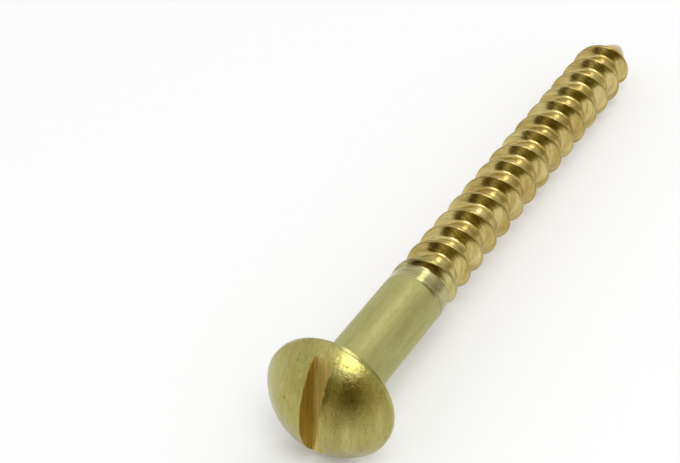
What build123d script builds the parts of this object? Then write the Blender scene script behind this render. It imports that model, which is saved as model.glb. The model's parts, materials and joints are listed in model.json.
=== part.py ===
from build123d import *

import os
from math import asin, atan2, ceil, cos, degrees, floor, pi, radians, sin, tan

# A slotted round head wood screw, turned and threaded from one piece of brass.
# It is made about the Z axis, with Z = 0 on the flat underside of the head, the head below
# and the point above, and is then laid down on its side as it comes to rest.

# ---- Driving sizes, in millimetres and degrees ----
length = 69.6               # underside of the head to the point
shank_diameter = 6.0
plain_length = 15.5         # underside of the head to the end of the plain shank

head_diameter = 12.6
head_height = 4.4
rim_height = 0.6            # straight side of the head, under the dome
rim_chamfer = 0.2           # chamfer on the rim's lower edge
slot_width = 1.9
slot_depth = 2.7            # from the top of the dome

collar_diameter = 8.1       # low collar that the neck flares into
collar_height = 0.25
neck_radius = 0.85          # hollow curve from the shank to the collar
seam_azimuth = -31.0        # where the head's turned faces close, round from the resting side

pitch = 3.3
crest_diameter = 6.2
crest_land = 0.26           # width of the flat crest
flank_angle = 60.0          # between the two flanks of the groove
root_diameter = 4.15
thread_phase = 2.97         # where the thread's line crosses the resting side, from the head
runout_start = 15.3         # where the groove begins, at the ledge of the plain shank
runout_length = 2.7         # over which the groove reaches its full depth
start_shift = 0.75          # how far the first turns lie beyond the even pitch
settled_at = 27.0           # where the turns have come to the even pitch
settling_length = 8.0       # over which they come to it

point_length = 2.7          # smooth point, clear of the thread
point_diameter = 3.2        # core of the first thread, where the point begins
point_step = 0.03           # tool mark: the point is turned this much under the last core
tip_diameter = 0.5
point_bulge = 0.15          # how far the point's side bows out from a straight cone
root_taper_length = 2.4     # from the point to the full root
lead_in_length = 2.0        # over which the first thread reaches the full crest
blunt_share = 0.45          # height at which the first thread starts, of the full height
blunt_length = 0.6          # over which the blunt start drops to the core
thread_to_point = 0.2       # core left bare between the thread's start and the point

# ---- Derived sizes ----
head_r = head_diameter / 2
shank_r = shank_diameter / 2
crest_r = crest_diameter / 2
root_r = root_diameter / 2
collar_r = collar_diameter / 2
point_r = point_diameter / 2
tip_r = tip_diameter / 2
point_start = length - point_length
full_root_end = point_start - root_taper_length
thread_end = point_start - thread_to_point
full_crest_end = thread_end - blunt_length - lead_in_length
flank_slope = tan(radians(flank_angle / 2))

# ---- How finely the thread is drawn ----
STEPS_PER_TURN = 12
SEAM = 0.03                 # least width of a flank, where the groove has no depth


def eased(share):
    """A share held between 0 and 1, that leaves 0 and reaches 1 smoothly."""
    held = min(1.0, max(0.0, share))
    return held * held * (3 - 2 * held)


def head_and_shank():
    """Domed head with its rim, flat underside, collar, hollow neck and plain shank."""
    dome_rise = head_height - rim_height
    dome_r = (head_r**2 + dome_rise**2) / (2 * dome_rise)
    half_way = asin(head_r / dome_r) / 2
    dome_middle = (dome_r * sin(half_way), dome_r - head_height - dome_r * cos(half_way))
    neck_foot = (shank_r + neck_radius, collar_height)
    neck_top = (shank_r, collar_height + neck_radius)
    rim_corner = (head_r, 0)

    with BuildSketch(Plane.XZ) as section:
        with BuildLine():
            ThreePointArc((0, -head_height), dome_middle, (head_r, -rim_height))
            Polyline((head_r, -rim_height), rim_corner, (collar_r, 0),
                     (collar_r, collar_height), neck_foot)
            RadiusArc(neck_foot, neck_top, neck_radius)
            Polyline(neck_top, (shank_r, plain_length), (0, plain_length), (0, -head_height))
        make_face()
        chamfer(section.vertices().sort_by_distance((head_r, 0, 0))[0], rim_chamfer)
    return Rot(0, 0, seam_azimuth) * revolve(section.sketch, Axis.Z)


def slot():
    """Sawn screwdriver slot, right across the dome, with a flat floor."""
    overrun = head_height
    blade = Box(head_diameter + overrun, slot_width, slot_depth + overrun,
                align=(Align.CENTER, Align.CENTER, Align.MAX))
    return Pos(0, 0, slot_depth - head_height) * blade


def point():
    """Smooth point beyond the thread, its side a little bowed."""
    base_r = point_r - point_step
    middle = ((base_r + tip_r) / 2 + point_bulge, (point_start + length) / 2)
    with BuildSketch(Plane.XZ) as section:
        with BuildLine():
            ThreePointArc((base_r, point_start), middle, (tip_r, length))
            Polyline((tip_r, length), (0, length), (0, point_start), (base_r, point_start))
        make_face()
    return revolve(section.sketch, Axis.Z)


def core_radius(z):
    """Radius of the core between the threads: straight, then narrowing towards the point."""
    taper = (root_r - point_r) / root_taper_length
    return max(tip_r, root_r - taper * max(0.0, z - full_root_end))


def ridge_height(z):
    """Height of the ridge over the core: full, then falling to a blunt start at the point."""
    risen = eased((thread_end - blunt_length - z) / lead_in_length)
    blunt = eased((thread_end - z) / blunt_length)
    return (crest_r - core_radius(z)) * (blunt_share + (1 - blunt_share) * risen) * blunt


def ridge_middle(turn):
    """Middle of the ridge along the screw: evenly pitched, but for its shifted first turns."""
    even = thread_phase + pitch * turn
    return even + start_shift * eased((settled_at - even) / settling_length)


def ridge_edge(turn, side, at_foot):
    """Point on one of the ridge's four edges: its crest's or its foot's, on either side."""
    z = ridge_middle(turn)
    height = ridge_height(z)
    cut = eased((z + side * pitch / 2 - runout_start) / runout_length)
    half_foot = crest_land / 2 + height * flank_slope + SEAM
    if at_foot:
        edge_z = z + side * half_foot
        radius = core_radius(edge_z) + height * (1 - cut)
    else:
        edge_z = z + side * (half_foot - height * cut * flank_slope - SEAM)
        radius = core_radius(edge_z) + height
    return (radius * cos(2 * pi * turn), radius * sin(2 * pi * turn), edge_z)


def edge_curve(turn, side, at_foot):
    """One turn of one of the ridge's edges."""
    steps = range(STEPS_PER_TURN + 1)
    return Spline([ridge_edge(turn + i / STEPS_PER_TURN, side, at_foot) for i in steps]).edge()


def ramp(edge):
    """Helical floor from the axis out to one turn of an edge."""
    return Face.make_surface_from_curves(Edge.make_line((0, 0, (edge @ 0).Z),
                                                        (0, 0, (edge @ 1).Z)), edge)


def threaded_rod():
    """The threaded length: crest, flank, root and flank strips wound into a closed solid.

    The winding starts inside the plain shank and ends past the start of the point, and both
    ends are cut off square, to meet the shank and the point face to face.
    """
    first = floor((plain_length - thread_phase) / pitch) - 1
    last = ceil((point_start - thread_phase) / pitch)
    turns = range(first, last)
    lower_foot = {turn: edge_curve(turn, -1, True) for turn in range(first, last + 1)}
    strips = []
    for turn in turns:
        edges = [lower_foot[turn], edge_curve(turn, -1, False), edge_curve(turn, 1, False),
                 edge_curve(turn, 1, True), lower_foot[turn + 1]]
        strips += [Face.make_surface_from_curves(a, b) for a, b in zip(edges, edges[1:])]
        if turn == first:
            bottom_cut = [edge @ 0 for edge in edges]
        top_cut = [edge @ 1 for edge in edges]

    ends = [ramp(lower_foot[first]), ramp(lower_foot[last])]
    for cut in (bottom_cut, top_cut):
        axis_points = [Vector(0, 0, cut[-1].Z), Vector(0, 0, cut[0].Z)]
        ends.append(Face(Wire.make_polygon(cut + axis_points, close=True)))
    winding = Solid(Shell(strips + ends))
    kept = Cylinder(crest_diameter, point_start - plain_length,
                    align=(Align.CENTER, Align.CENTER, Align.MIN))
    return winding & (Pos(0, 0, plain_length) * kept)


def laid_down(screw):
    """Tip the screw on its side, resting on the rim of its head and on its last full crest."""
    last_crest = thread_phase + pitch * floor((full_crest_end - thread_phase) / pitch)
    reach = rim_chamfer + last_crest + crest_land / 2
    droop = degrees(atan2(head_r - crest_r, reach))
    lying = Rot(0, 90 + droop, 0) * screw
    box = lying.bounding_box()
    return Pos(-box.center().X, -box.center().Y, -box.min.Z) * lying


screw = head_and_shank() + threaded_rod() + point() - slot()
screw = laid_down(screw.solid())

os.makedirs("parts", exist_ok=True)
export_step(screw, "parts/screw.step")
print("screw", round(screw.volume, 2), "mm3", screw.bounding_box().size)
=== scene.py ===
import json
import math

import bmesh
import bpy
import numpy as np
from mathutils import Matrix, Vector


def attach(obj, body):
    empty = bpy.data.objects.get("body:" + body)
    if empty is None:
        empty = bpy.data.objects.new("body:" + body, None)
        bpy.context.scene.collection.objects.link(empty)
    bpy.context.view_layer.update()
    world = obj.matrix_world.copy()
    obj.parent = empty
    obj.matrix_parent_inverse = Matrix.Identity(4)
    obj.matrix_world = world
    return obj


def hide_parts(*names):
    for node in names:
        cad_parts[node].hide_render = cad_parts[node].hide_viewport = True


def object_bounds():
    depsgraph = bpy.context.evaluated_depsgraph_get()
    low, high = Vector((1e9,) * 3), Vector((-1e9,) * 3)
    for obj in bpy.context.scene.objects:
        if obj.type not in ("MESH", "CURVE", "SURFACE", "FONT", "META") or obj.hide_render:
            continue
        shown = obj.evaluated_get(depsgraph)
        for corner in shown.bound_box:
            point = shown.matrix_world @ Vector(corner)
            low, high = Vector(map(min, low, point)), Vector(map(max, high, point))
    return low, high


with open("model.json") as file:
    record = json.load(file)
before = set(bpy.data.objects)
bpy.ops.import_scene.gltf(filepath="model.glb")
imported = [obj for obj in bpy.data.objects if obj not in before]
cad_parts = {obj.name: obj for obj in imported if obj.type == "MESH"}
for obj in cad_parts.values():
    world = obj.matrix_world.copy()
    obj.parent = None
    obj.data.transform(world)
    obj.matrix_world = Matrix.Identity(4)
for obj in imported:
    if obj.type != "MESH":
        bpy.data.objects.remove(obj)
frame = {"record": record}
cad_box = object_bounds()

# A slotted round head wood screw in brass, lying on a pale floor.
# Lengths are in millimetres until they reach a mesh, in the screw's own axes: Z runs from the
# head's flat underside (Z = 0) to the point, X points to the resting side along the slot.
MM = 0.001

# ---- The screw's sizes ----
LENGTH = 69.59          # 0.01 under the solid's, to stay inside it
SHANK_R = 3.0
PLAIN_LENGTH = 15.5
HEAD_R = 6.29           # and 0.01 under it too
HEAD_HEIGHT = 4.4
RIM_HEIGHT = 0.6
RIM_ROUND = 0.2
SLOT_WIDTH = 1.9
SLOT_DEPTH = 2.7
COLLAR_R = 4.05
COLLAR_HEIGHT = 0.25
NECK_RADIUS = 0.85
PITCH = 3.3
CREST_R = 3.1
CREST_LAND = 0.26
FLANK_SLOPE = math.tan(math.radians(30))
ROOT_R = 2.075
THREAD_PHASE = 2.97
RUNOUT_START = 15.3
RUNOUT_LENGTH = 2.7
START_SHIFT = 0.75
SETTLED_AT = 27.0
SETTLING_LENGTH = 8.0
POINT_START = 66.9
POINT_R = 1.6
POINT_STEP = 0.03
TIP_R = 0.25
POINT_BULGE = 0.15
ROOT_TAPER_LENGTH = 2.4
LEAD_IN_LENGTH = 2.0
BLUNT_SHARE = 0.45
BLUNT_LENGTH = 0.6
THREAD_TO_POINT = 0.2
SEAM = 0.03

NECK_TOP = COLLAR_HEIGHT + NECK_RADIUS
THREAD_END = POINT_START - THREAD_TO_POINT
FULL_ROOT_END = POINT_START - ROOT_TAPER_LENGTH
SLOT_FLOOR = SLOT_DEPTH - HEAD_HEIGHT
DOME_RISE = HEAD_HEIGHT - RIM_HEIGHT
DOME_R = (HEAD_R**2 + DOME_RISE**2) / (2 * DOME_RISE)
DOME_CENTRE = DOME_R - HEAD_HEIGHT
FIRST_CREST = THREAD_PHASE + START_SHIFT

# ---- Forms that only the visual has ----
CREST_BEND = 0.1        # how far the rounding of a crest's corner reaches
ROOT_BEND = 0.22        # and the rounding of a groove's corner
BEND_LIMIT = 0.6        # the most of a side that a rounding takes up
CREST_WEAR = 0.012      # depth of the unevenness of the crests
CREST_WEAR_REACH = 0.5  # how far down from the crest it fades out
SLOT_EDGE = 0.045       # worn edge of the slot
SLOT_WEAR = 0.012       # how far that edge wanders
COLLAR_ROUND = 0.05     # worn edge of the collar
COLLAR_FOOT = 0.06      # and the softened corner between it and the head

# Where the first groove begins, by the turn of the thread: the band of the ledge is turned
# down a little (the dip), and ends in a lip with a steep wall into the groove behind it.
LIP_OFFSET = 0.3        # of the lip from the middle between two crests, towards the point
LIP_START = 4.38        # where the lip swings in from further on
LIP_START_TURNS = 0.07
LIP_START_SHIFT = 1.0
LIP_END = 4.64          # where it runs off towards the ledge
LIP_END_TURNS = 0.6
LIP_END_SHIFT = 2.2
BAND_END = 5.3          # the band and lip lie in the grooves before this turn
DIP = 0.09
DIP_FROM, DIP_FROM_TURNS = 4.30, 0.08
DIP_TO, DIP_TO_TURNS = 4.62, 0.07
DIP_EDGE = 0.12         # length over which the band steps down at the ledge
BAND_FLUSH = 1.4        # length over which the metal may rise from the shank to the crests
WALL_SLOPE = 0.4        # length along the screw for each unit that the wall drops

# Painted shade in the deep groove behind the lip, and a painted shadow line in the groove at
# the ledge, by the turn and in millimetres from them
LIP_SHADE_STRENGTH = 0.6
LIP_SHADE_NEAR, LIP_SHADE_FAR, LIP_SHADE_FADE = 0.1, 0.9, 0.2
LIP_SHADE_FROM, LIP_SHADE_FROM_TURNS = 4.38, 0.05
LIP_SHADE_TO, LIP_SHADE_TO_TURNS = 4.60, 0.08
LEDGE_SHADOW_OFFSET, LEDGE_SHADOW_WIDTH = 0.08, 0.10
LEDGE_SHADOW_FROM, LEDGE_SHADOW_FROM_TURNS = 0.55, 0.03
LEDGE_SHADOW_TO, LEDGE_SHADOW_TO_TURNS = 0.63, 0.05

# ---- How finely the mesh is made ----
CAP_R = 6.05            # the dome is gridded along the slot inside this, and in rings outside
RING_RADII = (6.12, 6.19, 6.25)
ROW_SPREAD = math.radians(62)   # how strongly the grid closes up towards the rim
LUNE_ROWS = 48          # rows of the grid on each side of the slot
SLOT_ROWS = 10          # and across the slot's floor
SLOT_COLUMNS = 90       # columns along the slot
END_COLUMNS = 8         # and from each of its ends to the rim
WALL_ROWS = 6
RIM_STEPS = 6
NECK_STEPS = 9
UNDERSIDE_R = 5.7       # outermost ring on the underside, and how many there are to the collar
UNDERSIDE_RINGS = 6
SHANK_ROWS = 29
TURN_STEPS = 120        # sections in a turn of the thread
BEND_STEPS = 4
ROOT_STEPS = 6
FLANK_STEPS = 5
POINT_SIDES = 72
POINT_ROWS = 18
SHARPER_THAN = math.radians(38)     # edges that bend more than this stay sharp
ON_CUT = 1e-3           # how near to a flat cut a point counts as on it
CUT_MERGE = 0.04        # points on a cut that lie closer than this become one

HEAD, SHANK, THREAD, SLOT, WALL = range(5)


def eased(share):
    """A share held between 0 and 1, that leaves 0 and reaches 1 smoothly."""
    held = np.clip(share, 0.0, 1.0)
    return held * held * (3 - 2 * held)


def waves(seed, count, lowest, highest, *coordinates):
    """Smooth repeatable unevenness, mostly between -1 and 1: a sum of sines."""
    rng = np.random.default_rng(seed)
    total = 0.0
    for _ in range(count):
        direction = rng.normal(size=len(coordinates))
        direction *= rng.uniform(lowest, highest) / np.linalg.norm(direction)
        total = total + np.sin(sum(d * c for d, c in zip(direction, coordinates))
                               + rng.uniform(0, 2 * math.pi))
    return total / math.sqrt(count)


class Skin:
    """Vertices and faces as they are added, with a material for each face."""

    def __init__(self):
        self.points = []
        self.faces = []
        self.looks = []

    def add(self, points):
        """Add points (an array with x, y, z last) and return their numbers in its layout."""
        points = np.asarray(points, dtype=float)
        first = len(self.points)
        self.points.extend(points.reshape(-1, 3).tolist())
        return np.arange(first, len(self.points)).reshape(points.shape[:-1])

    def face(self, look, *corners):
        """A face round its corners, unless they fall together into a line."""
        kept = []
        for corner in corners:
            if int(corner) not in kept:
                kept.append(int(corner))
        if len(kept) > 2:
            self.faces.append(kept)
            self.looks.append(look)

    def sheet(self, look, rows):
        """Quads between the rows of a grid of vertex numbers."""
        for below, above in zip(rows[:-1], rows[1:]):
            for i in range(len(below) - 1):
                self.face(look, below[i], below[i + 1], above[i + 1], above[i])

    def stitch(self, look, inner, outer):
        """Triangles between two closed loops, both running round the axis the same way."""
        def angles(loop):
            turn = [math.atan2(self.points[v][1], self.points[v][0]) for v in loop]
            start = int(np.argmin(turn))
            order = [loop[(start + i) % len(loop)] for i in range(len(loop) + 1)]
            turn = [turn[(start + i) % len(loop)] for i in range(len(loop))]
            return order, turn + [turn[0] + 2 * math.pi]
        a, turn_a = angles(list(inner))
        b, turn_b = angles(list(outer))
        i = j = 0
        while i < len(a) - 1 or j < len(b) - 1:
            if j == len(b) - 1 or (i < len(a) - 1 and turn_a[i + 1] <= turn_b[j + 1]):
                self.face(look, a[i], a[i + 1], b[j])
                i += 1
            else:
                self.face(look, a[i], b[j + 1], b[j])
                j += 1


def ring_points(r, z, angle):
    """Points of a ring round the screw's axis, at the given angles."""
    return np.stack([r * np.cos(angle), r * np.sin(angle), np.full_like(angle, z)], -1)


def dome_z(x, y):
    """Where the dome's surface lies along the screw."""
    return DOME_CENTRE - np.sqrt(DOME_R**2 - x**2 - y**2)


def add_head(skin):
    """Dome, slot, rim, underside, collar, neck and shank. Returns the shank's last ring."""
    half = SLOT_WIDTH / 2
    edge = half + SLOT_EDGE
    floor_r = math.sqrt(DOME_R**2 - (DOME_CENTRE - SLOT_FLOOR)**2)
    edge_share = math.sqrt(floor_r**2 - half**2) / math.sqrt(CAP_R**2 - half**2)

    # shares of a row's length: sparse over the top, closer towards the rim
    t_floor = math.asin(edge_share * math.sin(ROW_SPREAD)) / ROW_SPREAD
    t = np.concatenate([np.linspace(-1, -t_floor, END_COLUMNS + 1)[:-1],
                        np.linspace(-t_floor, t_floor, SLOT_COLUMNS + 1),
                        np.linspace(t_floor, 1, END_COLUMNS + 1)[1:]])
    share = np.sin(t * ROW_SPREAD) / math.sin(ROW_SPREAD)
    inner = slice(END_COLUMNS, END_COLUMNS + SLOT_COLUMNS + 1)

    def dome_row(y):
        x = share * math.sqrt(max(CAP_R**2 - y**2, 0.0))
        return np.stack([x, np.full_like(x, y), dome_z(x, y)], axis=-1)

    # the two halves of the dome, each from the slot's edge to where the rows shrink to a point
    turns = np.linspace(math.asin(edge / CAP_R), math.pi / 2, LUNE_ROWS + 1)
    halves = {}
    for side in (-1, 1):
        rows = []
        for number, turn in enumerate(turns[:-1]):
            row = dome_row(side * CAP_R * math.sin(turn))
            if number == 0:
                row[inner, 1] += side * SLOT_WEAR * waves(11 + side, 7, 1.5, 9, row[inner, 0])
                row[..., 2] = dome_z(row[..., 0], row[..., 1])
            rows.append(skin.add(row))
        pole = skin.add([[0.0, side * CAP_R, dome_z(0.0, CAP_R)]])
        rows.append(np.full_like(rows[-1], pole[0]))
        skin.sheet(HEAD, rows if side > 0 else rows[::-1])
        halves[side] = rows

    # the slot's floor and the strips of dome between its ends and the rim
    ys = np.linspace(-half, half, SLOT_ROWS + 1)
    middle_left, middle_right, floor = [], [], []
    for y in ys:
        row = dome_row(y)
        reach = math.sqrt(floor_r**2 - y**2)
        outer = np.linspace(reach, math.sqrt(CAP_R**2 - y**2), END_COLUMNS + 1)
        row[inner, 0] = share[inner] / edge_share * reach
        row[inner, 2] = SLOT_FLOOR
        row[-END_COLUMNS - 1:, 0] = outer
        row[:END_COLUMNS + 1, 0] = -outer[::-1]
        for part in (slice(0, END_COLUMNS), slice(-END_COLUMNS, None)):
            row[part, 2] = dome_z(row[part, 0], row[part, 1])
        numbers = skin.add(row)
        floor.append(numbers[inner])
        middle_left.append(numbers[:END_COLUMNS + 1])
        middle_right.append(numbers[-END_COLUMNS - 1:])
    skin.sheet(SLOT, floor)
    skin.sheet(HEAD, middle_left)
    skin.sheet(HEAD, middle_right)

    # the slot's walls and their worn edges
    for side, base in ((-1, floor[0]), (1, floor[-1])):
        foot = np.array([skin.points[v] for v in base])
        top = foot.copy()
        top[:, 2] = np.minimum(dome_z(top[:, 0], top[:, 1]) + SLOT_EDGE, SLOT_FLOOR)
        rows = [base]
        for step in range(1, WALL_ROWS + 1):
            row = skin.add((foot + (top - foot) * step / WALL_ROWS)[1:-1])
            rows.append(np.concatenate([base[:1], row, base[-1:]]))
        edge_row = halves[side][0]
        skin.sheet(WALL, rows if side > 0 else rows[::-1])
        strip = [rows[-1], edge_row[inner]]
        skin.sheet(WALL, strip if side > 0 else strip[::-1])
        for ends, part in ((middle_left, slice(0, END_COLUMNS + 1)),
                           (middle_right, slice(-END_COLUMNS - 1, None))):
            strip = [ends[-1 if side > 0 else 0], edge_row[part]]
            skin.sheet(HEAD, strip if side > 0 else strip[::-1])

    # rings from the edge of that grid round the rim and down to the end of the shank
    right = [row[-1] for row in halves[-1][::-1]] + [row[-1] for row in middle_right]
    right += [row[-1] for row in halves[1]]
    left = [row[0] for row in halves[1][::-1]] + [row[0] for row in middle_left[::-1]]
    left += [row[0] for row in halves[-1]]
    ring = right + left[1:-1]
    angle = np.array([math.atan2(skin.points[v][1], skin.points[v][0]) for v in ring])

    turn_r = HEAD_R - RIM_ROUND
    turn_z = DOME_CENTRE - math.sqrt((DOME_R - RIM_ROUND)**2 - turn_r**2)
    start = math.asin(turn_r / (DOME_R - RIM_ROUND))
    profile = [(r, dome_z(r, 0.0)) for r in RING_RADII]
    for a in np.linspace(start, math.pi / 2, RIM_STEPS + 1):
        profile.append((turn_r + RIM_ROUND * math.sin(a), turn_z - RIM_ROUND * math.cos(a)))
    for a in np.linspace(0, math.pi / 2, RIM_STEPS + 1):
        profile.append((turn_r + RIM_ROUND * math.cos(a), -RIM_ROUND + RIM_ROUND * math.sin(a)))
    collar_start = COLLAR_R + COLLAR_FOOT
    profile += [(r, 0.0) for r in np.linspace(UNDERSIDE_R, collar_start, UNDERSIDE_RINGS)]
    profile += [(COLLAR_R, COLLAR_FOOT / 2), (COLLAR_R, COLLAR_HEIGHT - COLLAR_ROUND),
                (COLLAR_R - COLLAR_ROUND, COLLAR_HEIGHT)]
    for a in np.linspace(0, math.pi / 2, NECK_STEPS + 1):
        profile.append((SHANK_R + NECK_RADIUS * (1 - math.sin(a)),
                        COLLAR_HEIGHT + NECK_RADIUS * (1 - math.cos(a))))
    for share in np.linspace(0, 1, SHANK_ROWS + 1)[1:]:
        closing = share * (2 - share)           # the rows close up towards the ledge
        profile.append((SHANK_R, NECK_TOP + (PLAIN_LENGTH - NECK_TOP) * closing))
    rows = [np.array(ring + ring[:1])]
    for r, z in profile:
        row = skin.add(ring_points(r, z, angle))
        rows.append(np.append(row, row[0]))
    skin.sheet(HEAD, rows[:-SHANK_ROWS])
    skin.sheet(SHANK, rows[-SHANK_ROWS - 1:])
    return rows[-1][:-1]


def core_radius(z):
    """Radius of the core between the threads: straight, then narrowing towards the point."""
    taper = (ROOT_R - POINT_R) / ROOT_TAPER_LENGTH
    return np.maximum(TIP_R, ROOT_R - taper * np.maximum(0.0, z - FULL_ROOT_END))


def ridge_height(z):
    """Height of the ridge over the core: full, then falling to a blunt start at the point."""
    risen = eased((THREAD_END - BLUNT_LENGTH - z) / LEAD_IN_LENGTH)
    blunt = eased((THREAD_END - z) / BLUNT_LENGTH)
    return (CREST_R - core_radius(z)) * (BLUNT_SHARE + (1 - BLUNT_SHARE) * risen) * blunt


def ridge_edge(turn, side, at_foot):
    """(z, r) of one of the ridge's four edges, for an array of turns."""
    even = THREAD_PHASE + PITCH * turn
    z = even + START_SHIFT * eased((SETTLED_AT - even) / SETTLING_LENGTH)
    height = ridge_height(z)
    cut = eased((z + side * PITCH / 2 - RUNOUT_START) / RUNOUT_LENGTH)
    half_foot = CREST_LAND / 2 + height * FLANK_SLOPE + SEAM
    if at_foot:
        edge_z = z + side * half_foot
        return np.stack([edge_z, core_radius(edge_z) + height * (1 - cut)], -1)
    edge_z = z + side * (half_foot - height * cut * FLANK_SLOPE - SEAM)
    return np.stack([edge_z, core_radius(edge_z) + height], -1)


def bend(before, corner, after, reach):
    """A rounded corner: points of a parabola that touches both sides."""
    def along(end):
        gap = np.linalg.norm(end - corner, axis=-1, keepdims=True)
        return corner + (end - corner) * np.minimum(reach / np.maximum(gap, 1e-6), BEND_LIMIT)
    a, b = along(before), along(after)
    out = []
    for t in np.linspace(0, 1, BEND_STEPS + 1):
        out.append((1 - t)**2 * a + 2 * t * (1 - t) * corner + t**2 * b)
    return out


def flank(start, end):
    """Points along a straight flank, between its two rounded corners."""
    return [start + (end - start) * i / FLANK_STEPS for i in range(1, FLANK_STEPS)]


def lip_of_groove(turn, z):
    """Which turn of the groove a place is in, and where that groove's lip would be."""
    part = np.mod(turn, 1)
    groove = np.round((z - FIRST_CREST) / PITCH + 0.5 - part) + part
    lip = FIRST_CREST + PITCH * (groove - 0.5) + LIP_OFFSET
    lip = lip + LIP_START_SHIFT * (1 - eased((groove - LIP_START) / LIP_START_TURNS))
    lip = lip - LIP_END_SHIFT * eased((groove - LIP_END) / LIP_END_TURNS)
    return groove, lip


def between(value, start, start_length, end, end_length):
    """1 from a start to an end and 0 elsewhere, with a smooth change over each length."""
    return eased((value - start) / start_length) * (1 - eased((value - end) / end_length))


def painted_shade_at(x, y, z):
    """How much painted shade the metal gets: in the deep groove behind the first groove's lip,
    and as a painted shadow line at the ledge.
    """
    turn = np.mod(np.arctan2(y, x) / (2 * math.pi), 1)
    groove, lip = lip_of_groove(turn, z)
    crescent = LIP_SHADE_STRENGTH * between(z - lip, LIP_SHADE_NEAR, LIP_SHADE_FADE, LIP_SHADE_FAR, LIP_SHADE_FADE)
    crescent = crescent * between(groove, LIP_SHADE_FROM, LIP_SHADE_FROM_TURNS, LIP_SHADE_TO, LIP_SHADE_TO_TURNS)
    ledge_shadow = np.exp(-((z - PLAIN_LENGTH + LEDGE_SHADOW_OFFSET) / LEDGE_SHADOW_WIDTH)**2)
    ledge_shadow = ledge_shadow * between(turn, LEDGE_SHADOW_FROM, LEDGE_SHADOW_FROM_TURNS, LEDGE_SHADOW_TO, LEDGE_SHADOW_TO_TURNS)
    return np.maximum(crescent, ledge_shadow)


def start_of_groove(turn, z, r):
    """Radii round the ledge: a low turned band, with a lip where the first groove begins."""
    groove, lip = lip_of_groove(turn, z)
    dip = DIP * between(groove, DIP_FROM, DIP_FROM_TURNS, DIP_TO, DIP_TO_TURNS)
    flush = SHANK_R + (CREST_R - SHANK_R) * eased((z - PLAIN_LENGTH) / BAND_FLUSH)
    band = SHANK_R - dip * eased((z - PLAIN_LENGTH) / DIP_EDGE)
    wall = band - np.maximum(0.0, z - lip) / WALL_SLOPE
    return np.where(groove < BAND_END, np.minimum(np.maximum(r, wall), flush), r)


def rim_of_cut(mesh, height):
    """The vertices round a flat cut, one after the other, the way the angle grows."""
    beside = {}
    for edge in mesh.edges:
        if edge.is_boundary and all(abs(v.co.z - height) < ON_CUT for v in edge.verts):
            for v in edge.verts:
                beside.setdefault(v, []).append(edge.other_vert(v))
    first = next(iter(beside))
    rim = [first, beside[first][0]]
    while rim[-1] is not first:
        rim.append(next(v for v in beside[rim[-1]] if v is not rim[-2]))
    rim.pop()
    around = sum(a.co.x * b.co.y - b.co.x * a.co.y for a, b in zip(rim, rim[1:]))
    return rim if around > 0 else rim[::-1]


def thread_section(turn):
    """The thread's outline from groove to groove, at each of the turns: (z, r) in columns."""
    low_foot, low_crest = ridge_edge(turn, -1, True), ridge_edge(turn, -1, False)
    high_crest, high_foot = ridge_edge(turn, 1, False), ridge_edge(turn, 1, True)
    low_middle = (low_foot + ridge_edge(turn - 1, 1, True)) / 2
    high_middle = (high_foot + ridge_edge(turn + 1, -1, True)) / 2
    low_bend = bend(low_middle, low_foot, low_crest, ROOT_BEND)
    section = [low_middle + (low_bend[0] - low_middle) * i / ROOT_STEPS
               for i in range(ROOT_STEPS)]
    crest_bends = [bend(low_foot, low_crest, high_crest, CREST_BEND),
                   bend(low_crest, high_crest, high_foot, CREST_BEND)]
    high_bend = bend(high_crest, high_foot, high_middle, ROOT_BEND)
    section += low_bend + flank(low_bend[-1], crest_bends[0][0])
    section += crest_bends[0] + crest_bends[1]
    section += flank(crest_bends[1][-1], high_bend[0]) + high_bend
    return np.stack(section, axis=1)


def add_thread(skin, shank_ring):
    """The thread from the ledge at the end of the shank to the start of the point."""
    first = math.floor((PLAIN_LENGTH - THREAD_PHASE) / PITCH) - 1
    last = math.ceil((POINT_START - THREAD_PHASE) / PITCH) + 1
    count = (last - first) * TURN_STEPS + 1
    turn = first + np.arange(count) / TURN_STEPS
    section = thread_section(turn)
    angle = 2 * math.pi * turn[:, None]
    z, r = section[..., 0], start_of_groove(turn[:, None], section[..., 0], section[..., 1])
    near_crest = np.clip((r - (CREST_R - CREST_WEAR_REACH)) / CREST_WEAR_REACH, 0, 1)**3
    worn = np.clip(waves(5, 9, 0.6, 4.0, angle * 3, z * 1.1), 0, 3)
    r = r - CREST_WEAR * worn * near_crest

    points = np.stack([r * np.cos(angle), r * np.sin(angle), z], -1)
    columns = points.shape[1]
    mesh = bmesh.new()
    made = [mesh.verts.new(p) for p in points.reshape(-1, 3)]

    def number(k, j):
        """Past its last column, a section goes on in the first column of the next turn."""
        return (k + TURN_STEPS) * columns if j == columns else k * columns + j

    for k in range(count - 1):
        for j in range(columns):
            if number(k + 1, j + 1) < len(made):
                mesh.faces.new([made[number(k, j)], made[number(k + 1, j)],
                                made[number(k + 1, j + 1)], made[number(k, j + 1)]])

    # cut off square at the ledge and at the start of the point
    for height, side in ((PLAIN_LENGTH, 1), (POINT_START, -1)):
        everything = mesh.verts[:] + mesh.edges[:] + mesh.faces[:]
        bmesh.ops.bisect_plane(mesh, geom=everything, dist=1e-5, plane_co=(0, 0, height),
                               plane_no=(0, 0, side), clear_inner=True)
    cut = [v for v in mesh.verts
           if min(abs(v.co.z - PLAIN_LENGTH), abs(v.co.z - POINT_START)) < ON_CUT]
    bmesh.ops.remove_doubles(mesh, verts=cut, dist=CUT_MERGE)
    cut = {v for v in cut if v.is_valid}
    slivers = [f for f in mesh.faces if all(v in cut for v in f.verts)]
    bmesh.ops.delete(mesh, geom=slivers, context="FACES")
    mesh.verts.index_update()
    base = skin.add([v.co[:] for v in mesh.verts])
    for face in mesh.faces:
        skin.face(THREAD, *[base[v.index] for v in face.verts])
    loops = {}
    for height in (PLAIN_LENGTH, POINT_START):
        loops[height] = [int(base[v.index]) for v in rim_of_cut(mesh, height)]
    mesh.free()
    skin.stitch(SHANK, shank_ring, loops[PLAIN_LENGTH])
    return loops[POINT_START]


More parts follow.
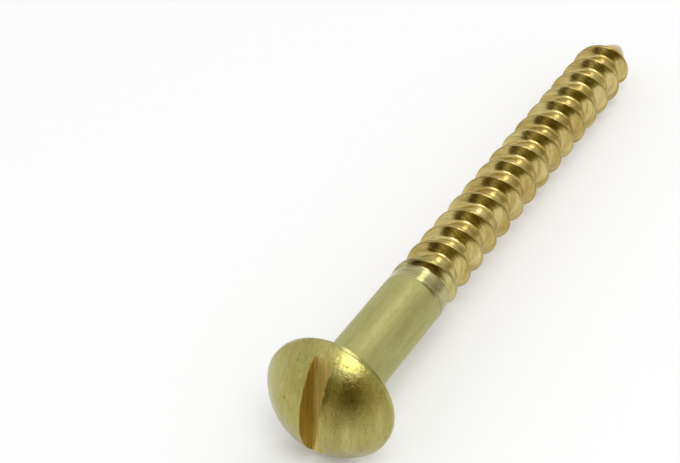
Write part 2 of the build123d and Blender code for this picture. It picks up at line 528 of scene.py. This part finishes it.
def add_point(skin, thread_ring):
    """The smooth point. Its side bows out a little between its base and its blunted tip."""
    base_r = POINT_R - POINT_STEP
    half_chord = Vector(((TIP_R - base_r) / 2, (LENGTH - POINT_START) / 2))
    rise = POINT_BULGE * half_chord.y / half_chord.length
    angle = np.arange(POINT_SIDES) * 2 * math.pi / POINT_SIDES
    previous = None
    for share in np.linspace(0, 1, POINT_ROWS + 1):
        bow = 4 * share * (1 - share) * rise
        r = base_r + (TIP_R - base_r) * share + bow
        z = POINT_START + (LENGTH - POINT_START) * share
        row = skin.add(ring_points(r, z, angle))
        if previous is None:
            skin.stitch(THREAD, thread_ring, row)
        else:
            skin.sheet(THREAD, [np.append(previous, previous[0]), np.append(row, row[0])])
        previous = row
    skin.face(THREAD, *previous)


# ---- The mesh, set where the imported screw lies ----
mounts = {m["name"]: m for m in frame["record"]["mounts"]}
shank_mount = mounts["plain_shank"]
axis = Vector(shank_mount["axis"]).normalized()
shank_middle = (NECK_TOP + PLAIN_LENGTH) / 2
bearing_centre = Vector(shank_mount["pos_m"]) - axis * shank_middle * MM
across = Vector((0, 1, 0))
resting = across.cross(axis)

skin = Skin()
add_point(skin, add_thread(skin, add_head(skin)))
own = np.array(skin.points)
turned = np.array([resting, across, axis])
placed = np.array(bearing_centre) + own @ turned * MM
mesh = bpy.data.meshes.new("screw_brass")
mesh.from_pydata(placed.tolist(), [], skin.faces)
mesh.polygons.foreach_set("material_index", skin.looks)
mesh.attributes.new("own", "FLOAT_VECTOR", "POINT").data.foreach_set("vector", own.ravel())
# painted shade behind the first lip and the painted shadow line at the ledge, read by the brass
# colours
mesh.attributes.new("painted_shade", "FLOAT", "POINT").data.foreach_set("value", painted_shade_at(*own.T))
mesh.update()
facing = bmesh.new()
facing.from_mesh(mesh)
open_edges = sum(not edge.is_manifold for edge in facing.edges)
bmesh.ops.recalc_face_normals(facing, faces=facing.faces[:])
print("open edges", open_edges, "faces", len(facing.faces), "volume mm3",
      round(facing.calc_volume() / MM**3, 1))
facing.to_mesh(mesh)
facing.free()
mesh.polygons.foreach_set("use_smooth", [True] * len(mesh.polygons))
mesh.set_sharp_from_angle(angle=SHARPER_THAN)
screw = bpy.data.objects.new("screw_brass", mesh)
bpy.context.scene.collection.objects.link(screw)
bpy.context.view_layer.update()


# ---- Materials ----
TONE_LEVELS = (0.3, 0.5, 0.7)       # of the patches' noise, for its three tones
GRAIN_SCALE = 2.6
SCRATCH_SHADE = (0.62, 0.56, 0.42)
SCRATCH_DEPTH = 0.000006
# colour of the painted shade behind the first lip and of the painted shadow line at the ledge
PAINTED_SHADE = (0.34, 0.22, 0.16)
DIRT = (0.40, 0.33, 0.20)
BRIGHT = (1.5, 1.5, 1.7)
SAWN_METALLIC = 0.6
# depths over which the painted shade on the thread's crests comes in
CREST_SHADE_FROM, CREST_SHADE_FULL = 0.14, 0.02     # depths below the crest
LEDGE_TINT_FULL, LEDGE_TINT_END = 1.0, 5.5          # lengths beyond the ledge


def nodes_of(name):
    """A new material, with its node tree and its shader."""
    material = bpy.data.materials.new(name)
    material.use_nodes = True
    tree = material.node_tree
    return material, tree, tree.nodes["Principled BSDF"]


def add_node(tree, kind, **settings):
    """A new node, with settings of its own or of its sockets."""
    node = tree.nodes.new(kind)
    for key, value in settings.items():
        if hasattr(node, key):
            setattr(node, key, value)
        else:
            node.inputs[key.replace("_", " ")].default_value = value
    return node


def brass(name, tones, patches, roughness, lines, line_depth, stroke_shade, grain_depth,
          scratches, specks, metallic=1.0, painted_crest_shade=None, ledge_tint=None):
    """Turned brass, with colour patches, fine tool lines, grain, scratches and small specks.

    tones are the colours of its darker, middle and lighter patches. patches and lines are
    scales per millimetre along the screw's own axes, small along a stroke. Each of the
    scratches has such a scale, a rotation and the level of noise above which it shows. specks
    are how close they lie, their size and their shade. The thread also has painted shade
    that darkens its crests, and a tint near the ledge. Depths are in metres.
    """
    material, tree, shader = nodes_of(name)
    link = tree.links.new
    shader.inputs["Metallic"].default_value = metallic
    place = add_node(tree, "ShaderNodeAttribute", attribute_name="own")

    def noise(source, **settings):
        texture = add_node(tree, "ShaderNodeTexNoise", **settings)
        link(source, texture.inputs["Vector"])
        return texture.outputs["Fac"]

    def stretched(scale, turn):
        mapping = add_node(tree, "ShaderNodeMapping")
        mapping.inputs["Scale"].default_value = scale
        mapping.inputs["Rotation"].default_value = turn
        link(place.outputs["Vector"], mapping.inputs["Vector"])
        return mapping.outputs["Vector"]

    def window(source, start, end, low_value, high_value):
        span = add_node(tree, "ShaderNodeMapRange")
        for socket, value in (("From Min", start), ("From Max", end),
                              ("To Min", low_value), ("To Max", high_value)):
            span.inputs[socket].default_value = value
        link(source, span.inputs["Value"])
        return span.outputs["Result"]

    def combined(operation, first, second):
        node = add_node(tree, "ShaderNodeMath", operation=operation)
        for socket, value in zip(node.inputs, (first, second)):
            if isinstance(value, float):
                socket.default_value = value
            else:
                link(value, socket)
        return node.outputs["Value"]

    def shaded(colour, share, factor):
        blend = add_node(tree, "ShaderNodeMix", data_type="RGBA", blend_type="MULTIPLY")
        link(share, blend.inputs["Factor"])
        link(colour, blend.inputs[6])
        blend.inputs[7].default_value = (*factor, 1)
        return blend.outputs[2]

    cloudy = noise(stretched(patches, (0, 0, 0)), Scale=1.0, Detail=5.0, Roughness=0.6)
    tint = add_node(tree, "ShaderNodeValToRGB")
    tint.color_ramp.elements.new(0.5)
    for element, position, tone in zip(tint.color_ramp.elements, TONE_LEVELS, tones):
        element.position = position
        element.color = (*tone, 1)
    link(cloudy, tint.inputs["Fac"])

    strokes = noise(stretched(lines, (0, 0, 0)), Scale=1.0, Detail=4.0, Roughness=0.7)
    grain = noise(place.outputs["Vector"], Scale=GRAIN_SCALE, Detail=4.0, Roughness=0.7)
    scratched = None
    for scale, turn, level in scratches:
        streak = noise(stretched(scale, turn), Scale=1.0, Detail=3.0, Roughness=0.6)
        mask = window(streak, level, level + 0.05, 0.0, 1.0)
        scratched = mask if scratched is None else combined("MAXIMUM", scratched, mask)
    speck_scale, speck_size, speck_shade = specks
    cells = add_node(tree, "ShaderNodeTexVoronoi", Scale=speck_scale)
    link(place.outputs["Vector"], cells.inputs["Vector"])
    spots = window(cells.outputs["Distance"], speck_size, speck_size * 0.5, 0.0, 1.0)
    some = noise(place.outputs["Vector"], Scale=0.9, Detail=1.0)
    spots = combined("MULTIPLY", spots, window(some, 0.5, 0.56, 0.0, 1.0))

    colour = shaded(tint.outputs["Color"], window(strokes, 0.38, 0.56, 1.0, 0.0), stroke_shade)
    # painted shade on the crests: they are coloured darker, standing in for shade
    if painted_crest_shade:
        flat = add_node(tree, "ShaderNodeVectorMath", operation="MULTIPLY")
        flat.inputs[1].default_value = (1, 1, 0)
        link(place.outputs["Vector"], flat.inputs[0])
        out = add_node(tree, "ShaderNodeVectorMath", operation="LENGTH")
        link(flat.outputs["Vector"], out.inputs[0])
        on_crest = window(out.outputs["Value"], CREST_R - CREST_SHADE_FROM,
                          CREST_R - CREST_SHADE_FULL, 0.0, 1.0)
        colour = shaded(colour, on_crest, painted_crest_shade)
    if ledge_tint:
        along = add_node(tree, "ShaderNodeSeparateXYZ")
        link(place.outputs["Vector"], along.inputs["Vector"])
        near_ledge = window(along.outputs["Z"], PLAIN_LENGTH + LEDGE_TINT_FULL,
                            PLAIN_LENGTH + LEDGE_TINT_END, 1.0, 0.0)
        colour = shaded(colour, near_ledge, ledge_tint)
    # painted shade behind the first lip and the painted shadow line at the ledge
    painted_shade = add_node(tree, "ShaderNodeAttribute", attribute_name="painted_shade")
    colour = shaded(colour, painted_shade.outputs["Fac"], PAINTED_SHADE)
    colour = shaded(colour, combined("MULTIPLY", scratched, 0.55), SCRATCH_SHADE)
    colour = shaded(colour, combined("MULTIPLY", spots, 0.8), speck_shade)
    link(colour, shader.inputs["Base Color"])
    gloss = combined("ADD", window(grain, 0.3, 0.7, roughness - 0.05, roughness + 0.07),
                     combined("MULTIPLY", scratched, 0.08))
    link(gloss, shader.inputs["Roughness"])

    normal = None
    for height, depth, strength in ((strokes, line_depth, 1.0), (grain, grain_depth, 1.0),
                                    (combined("SUBTRACT", 1.0, scratched), SCRATCH_DEPTH, 0.6)):
        bump = add_node(tree, "ShaderNodeBump", Strength=strength, Distance=depth)
        link(height, bump.inputs["Height"])
        if normal is not None:
            link(normal, bump.inputs["Normal"])
        normal = bump.outputs["Normal"]
    link(normal, shader.inputs["Normal"])
    return material


head_brass = brass(
    "satin_brass",
    tones=((0.35, 0.31, 0.09), (0.42, 0.38, 0.125), (0.50, 0.47, 0.19)),
    patches=(0.1, 0.7, 0.5), roughness=0.23,
    lines=(0.5, 3.5, 3.5), line_depth=0.000012, stroke_shade=(0.90, 0.88, 0.80),
    grain_depth=0.000022,
    scratches=(((0.3, 7, 1), (0, 0, 0.15), 0.66), ((6, 0.4, 1), (0, 0, 0.3), 0.67)),
    specks=(1.1, 0.15, DIRT))
shank_brass = brass(
    "drawn_brass",
    tones=((0.40, 0.38, 0.14), (0.46, 0.44, 0.18), (0.51, 0.49, 0.22)),
    patches=(0.5, 0.5, 0.12), roughness=0.54,
    lines=(2.5, 2.5, 0.25), line_depth=0.000006, stroke_shade=(0.92, 0.91, 0.86),
    grain_depth=0.000018,
    scratches=(((5, 5, 0.5), (0.2, 0.1, 0), 0.66), ((0.8, 0.8, 7), (0.3, 0.2, 0), 0.68)),
    specks=(1.2, 0.13, BRIGHT))
thread_brass = brass(
    "cut_brass",
    tones=((0.51, 0.39, 0.125), (0.61, 0.50, 0.20), (0.71, 0.62, 0.28)),
    patches=(0.26, 0.26, 0.26), roughness=0.16,
    lines=(0.2, 0.2, 4.2), line_depth=0.00003, stroke_shade=(0.74, 0.66, 0.50),
    grain_depth=0.000012,
    scratches=(((0.3, 0.3, 9), (0, 0, 0), 0.64), ((4, 4, 1), (0.4, 0.6, 0), 0.7)),
    specks=(1.3, 0.14, BRIGHT),
    # painted shade that darkens the crests
    painted_crest_shade=(0.72, 0.70, 0.60), ledge_tint=(0.78, 0.92, 1.10))
slot_brass = brass(
    "sawn_brass",
    tones=((0.56, 0.43, 0.10), (0.70, 0.57, 0.17), (0.80, 0.69, 0.26)),
    patches=(0.15, 2.0, 1.5), roughness=0.36,
    lines=(0.10, 4.5, 3.5), line_depth=0.000025, stroke_shade=(0.72, 0.66, 0.50),
    grain_depth=0.000012,
    scratches=(((0.12, 9, 6), (0, 0, 0.02), 0.62), ((0.3, 5, 3), (0, 0, 0), 0.66)),
    specks=(2.0, 0.12, DIRT), metallic=SAWN_METALLIC)
# the slot's walls: the same sawn brass as the slot's floor, coloured darker and browner as
# painted shade
shaded_wall_brass = brass(
    "sawn_side_painted_shade",
    tones=((0.44, 0.29, 0.02), (0.56, 0.39, 0.04), (0.66, 0.48, 0.07)),
    patches=(0.15, 1.5, 2.0), roughness=0.36,
    lines=(0.10, 3.5, 4.5), line_depth=0.000025, stroke_shade=(0.72, 0.62, 0.40),
    grain_depth=0.000012,
    scratches=(((0.12, 6, 9), (0, 0, 0.02), 0.62), ((0.3, 3, 5), (0, 0, 0), 0.66)),
    specks=(2.0, 0.12, DIRT), metallic=SAWN_METALLIC)
for material in (head_brass, shank_brass, thread_brass, slot_brass, shaded_wall_brass):
    mesh.materials.append(material)

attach(screw, "root")
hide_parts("screw")

# ---- Floor and world ----
FLOOR_HALF = 1.5
FLOOR_GAP = 0.00002     # between the floor and the screw's lowest point
FLOOR_LIFT = 0.14       # added to the floor's white where the camera or the metal sees it
WORLD_LIGHT = 0.62      # the world's strength as a light
WORLD_SEEN = 0.88       # and where the camera or the metal sees it


def seen_or_mirrored(tree):
    """1 where the camera, or the metal as a mirror, looks at a surface, and 0 elsewhere."""
    path = add_node(tree, "ShaderNodeLightPath")
    seen = add_node(tree, "ShaderNodeMath", operation="MAXIMUM")
    tree.links.new(path.outputs["Is Camera Ray"], seen.inputs[0])
    tree.links.new(path.outputs["Is Glossy Ray"], seen.inputs[1])
    return seen.outputs["Value"]


floor_height = cad_box[0][2]
floor_mesh = bpy.data.meshes.new("floor")
floor_mesh.from_pydata([(-FLOOR_HALF, -FLOOR_HALF, 0), (FLOOR_HALF, -FLOOR_HALF, 0),
                        (FLOOR_HALF, FLOOR_HALF, 0), (-FLOOR_HALF, FLOOR_HALF, 0)],
                       [], [(0, 1, 2, 3)])
floor = bpy.data.objects.new("floor", floor_mesh)
bpy.context.scene.collection.objects.link(floor)
floor.location.z = floor_height - FLOOR_GAP
floor_material, floor_tree, floor_shader = nodes_of("pale_floor")
floor_shader.inputs["Base Color"].default_value = (0.93, 0.93, 0.93, 1)
floor_shader.inputs["Roughness"].default_value = 0.9
floor_shader.inputs["Specular IOR Level"].default_value = 0.0
lift = add_node(floor_tree, "ShaderNodeMath", operation="MULTIPLY")
lift.inputs[1].default_value = FLOOR_LIFT
floor_tree.links.new(seen_or_mirrored(floor_tree), lift.inputs[0])
floor_shader.inputs["Emission Color"].default_value = (1, 1, 1, 1)
floor_tree.links.new(lift.outputs["Value"], floor_shader.inputs["Emission Strength"])
floor_mesh.materials.append(floor_material)

world = bpy.data.worlds.new("studio")
bpy.context.scene.world = world
world.use_nodes = True
backdrop = world.node_tree.nodes["Background"]
backdrop.inputs["Color"].default_value = (1, 1, 1, 1)
level = add_node(world.node_tree, "ShaderNodeMapRange")
level.inputs["To Min"].default_value = WORLD_LIGHT
level.inputs["To Max"].default_value = WORLD_SEEN
world.node_tree.links.new(seen_or_mirrored(world.node_tree), level.inputs["Value"])
world.node_tree.links.new(level.outputs["Result"], backdrop.inputs["Strength"])

# ---- Lamps and cards ----
def direction(azimuth, elevation):
    """The way from the screw to a place seen from it at these angles, in degrees."""
    a, e = math.radians(azimuth), math.radians(elevation)
    return Vector((math.cos(e) * math.cos(a), math.cos(e) * math.sin(a), math.sin(e)))


def lamp(name, azimuth, elevation, distance, radius, radiance):
    """A round soft lamp that faces the screw, as bright as given seen from there."""
    data = bpy.data.lights.new(name, "AREA")
    data.shape = "DISK"
    data.size = 2 * radius
    data.energy = radiance * math.pi * math.pi * radius**2
    light = bpy.data.objects.new(name, data)
    bpy.context.scene.collection.objects.link(light)
    towards = direction(azimuth, elevation)
    light.location = bearing_centre + towards * distance
    light.rotation_euler = towards.to_track_quat("Z", "Y").to_euler()


lamp("key", azimuth=-134, elevation=65, distance=0.6, radius=0.155, radiance=3.3)
lamp("halo", azimuth=-120, elevation=76, distance=0.64, radius=0.3, radiance=0.45)
lamp("back", azimuth=-4, elevation=40, distance=0.6, radius=0.085, radiance=3.2)

CARD_STEPS = 40
CARD_OVER_FLOOR = 0.0005


def fade(value, limits):
    """0 outside the first and last of four limits, 1 between the middle two."""
    rising = eased((value - limits[0]) / (limits[1] - limits[0]))
    falling = eased((limits[3] - value) / (limits[3] - limits[2]))
    return float(rising * falling)


def card(name, azimuths, elevations, shade, reach=0.5):
    """A dark panel that only shows in the metal, and lies on the floor below the horizon.

    It fades in between the first two of its azimuths and elevations and out between the last.
    """
    above_floor = bearing_centre.z - floor_height - CARD_OVER_FLOOR
    side = CARD_STEPS + 1
    points, veil = [], []
    for elevation in np.linspace(elevations[0], elevations[3], side):
        for azimuth in np.linspace(azimuths[0], azimuths[3], side):
            towards = direction(azimuth, elevation)
            distance = min(reach, above_floor / max(-towards.z, 1e-6))
            points.append(tuple(bearing_centre + distance * towards))
            veil.append(fade(azimuth, azimuths) * fade(elevation, elevations))
    faces = [(j * side + i, j * side + i + 1, (j + 1) * side + i + 1, (j + 1) * side + i)
             for j in range(CARD_STEPS) for i in range(CARD_STEPS)]
    data = bpy.data.meshes.new(name)
    data.from_pydata(points, [], faces)
    data.attributes.new("veil", "FLOAT", "POINT").data.foreach_set("value", veil)
    panel = bpy.data.objects.new(name, data)
    bpy.context.scene.collection.objects.link(panel)
    panel.visible_camera = False
    panel.visible_diffuse = False
    panel.visible_shadow = False
    material = bpy.data.materials.new(name)
    material.use_nodes = True
    tree = material.node_tree
    tree.nodes.clear()
    out = tree.nodes.new("ShaderNodeOutputMaterial")
    glow = tree.nodes.new("ShaderNodeEmission")
    glow.inputs["Color"].default_value = (*shade, 1)
    clear = tree.nodes.new("ShaderNodeBsdfTransparent")
    blend = tree.nodes.new("ShaderNodeMixShader")
    shown = tree.nodes.new("ShaderNodeAttribute")
    shown.attribute_name = "veil"
    tree.links.new(shown.outputs["Fac"], blend.inputs["Fac"])
    tree.links.new(clear.outputs["BSDF"], blend.inputs[1])
    tree.links.new(glow.outputs["Emission"], blend.inputs[2])
    tree.links.new(blend.outputs["Shader"], out.inputs["Surface"])
    data.materials.append(material)


# the room's dim side behind the camera, its two darkest parts, and the side to the right
card("front_card", (146, 161, 234, 300), (-34, 16, 36, 54), (0.46, 0.40, 0.16))
card("left_card", (147, 156, 174, 188), (-20, 4, 40, 62), (0.09, 0.06, 0.005), reach=0.49)
card("right_card", (188, 202, 222, 244), (-34, 6, 34, 50), (0.12, 0.09, 0.01), reach=0.49)
card("side_card", (-76, -42, -41, -8), (-10, 14, 15, 38), (0.35, 0.33, 0.25))

# ---- Camera ----
CAMERA_PLACE = Vector((-0.10767, -0.05833, 0.11749))     # from the middle of the bearing face
CAMERA_RIGHT = Vector((0.4713, -0.8819, 0)).normalized()
CAMERA_FORWARD = Vector((0.6865, 0.3669, -0.6278)).normalized()
camera_data = bpy.data.cameras.new("camera")
camera_data.lens = 100.916
camera_data.sensor_width = 36.0
camera_data.clip_start = 0.005
camera = bpy.data.objects.new("camera", camera_data)
bpy.context.scene.collection.objects.link(camera)
turning = Matrix((CAMERA_RIGHT, CAMERA_RIGHT.cross(CAMERA_FORWARD), -CAMERA_FORWARD))
turning = turning.transposed().to_4x4()
turning.translation = bearing_centre + CAMERA_PLACE
camera.matrix_world = turning
bpy.context.scene.camera = camera
bpy.context.scene.view_settings.view_transform = "Standard"
